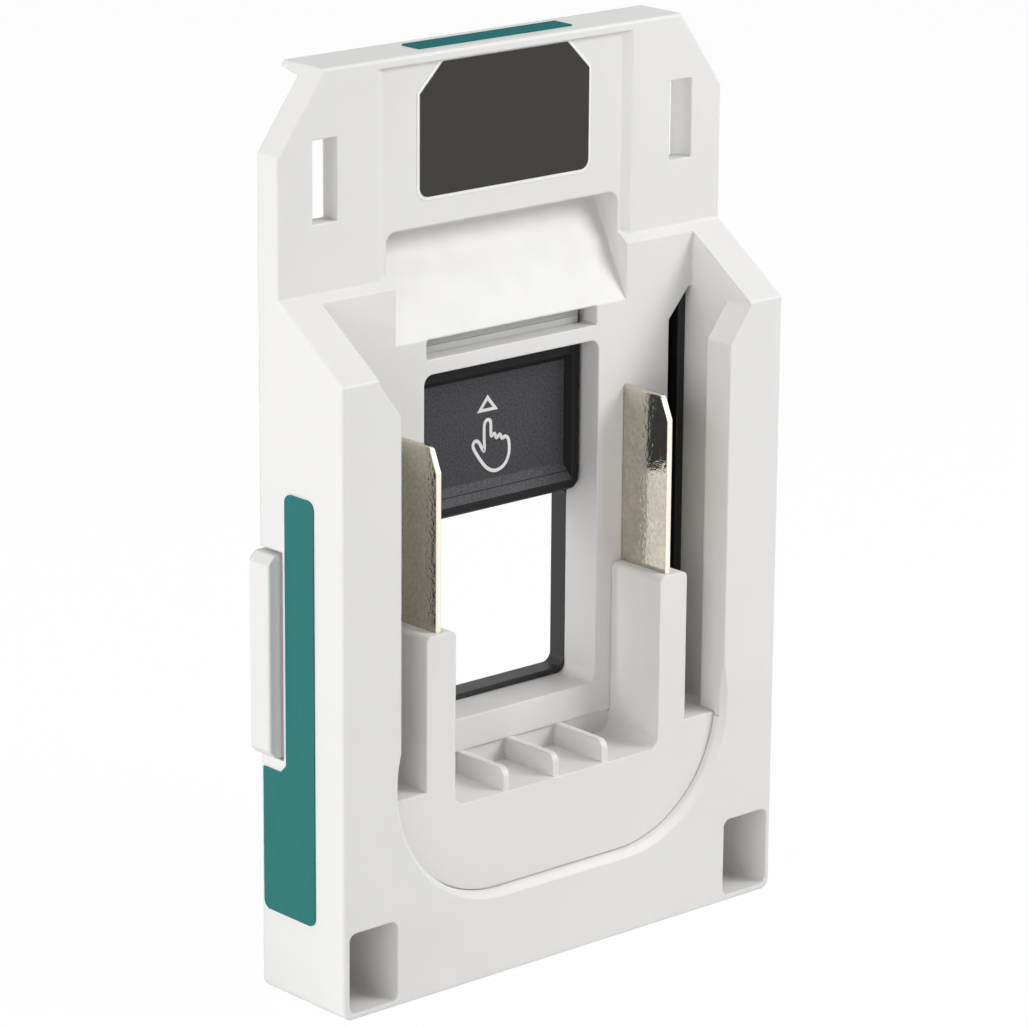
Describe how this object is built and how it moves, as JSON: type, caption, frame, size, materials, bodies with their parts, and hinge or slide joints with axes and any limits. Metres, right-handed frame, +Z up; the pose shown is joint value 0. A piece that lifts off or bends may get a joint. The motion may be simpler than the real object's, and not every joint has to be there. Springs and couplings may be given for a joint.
{
  "type": "tool battery adapter",
  "caption": "Flat slide-on adapter with side rails and undercut lips, a finger slider in a window, a terminal block with two upright blades, and a screwed rear cover.",
  "frame": {"origin": "centre of the bounding box, on the foot", "axes": "+Z up the adapter, from the foot to the edge that the battery comes over; -Y out of the front that carries the rails; +X to the right, seen from the front"},
  "size_m": [0.0842, 0.0216, 0.128],
  "materials": {
    "white_shell": "fine moulded texture, glass-filled nylon",
    "white_block": "fine moulded texture, glass-filled nylon",
    "black_plastic": "fine spark texture",
    "grey_plastic": "spark texture with smooth bevels",
    "light_plastic": "smooth moulded",
    "tin_plate": "tin-plated brass sheet",
    "spring_steel": "zinc-plated wire",
    "screw_steel": "black zinc",
    "dark_label": "matt printed film",
    "teal_label": "satin printed film"
  },
  "bodies": {
    "adapter_body": {"front_housing": "white_shell", "rear_cover": "black_plastic", "cover_screws": "screw_steel", "terminal_block": "white_block", "contact_carrier": "black_plastic", "label_plate": "dark_label", "side_label": "teal_label", "top_label": "teal_label", "busbar_rivets": "tin_plate", "blade_terminal_right": "tin_plate", "blade_terminal_left": "tin_plate", "bus_bar_right": "tin_plate", "bus_bar_left": "tin_plate", "rear_contact_right": "tin_plate", "rear_contact_left": "tin_plate", "slider_spring_right": "spring_steel", "slider_spring_left": "spring_steel", "guide_key_right": "white_shell", "guide_key_left": "white_shell"},
    "release_slide_body": {"release_slider": "grey_plastic", "latch_bar": "light_plastic"}
  },
  "joints": [
    {"name": "release_slide", "type": "slide", "parent": "adapter_body", "child": "release_slide_body", "axis": [0, 0, 1], "range_m": [0, 0.005], "stiffness_N_per_m": 700, "springref_m": -0.006, "deforming": ["slider_spring_right", "slider_spring_left"]}
  ]
}
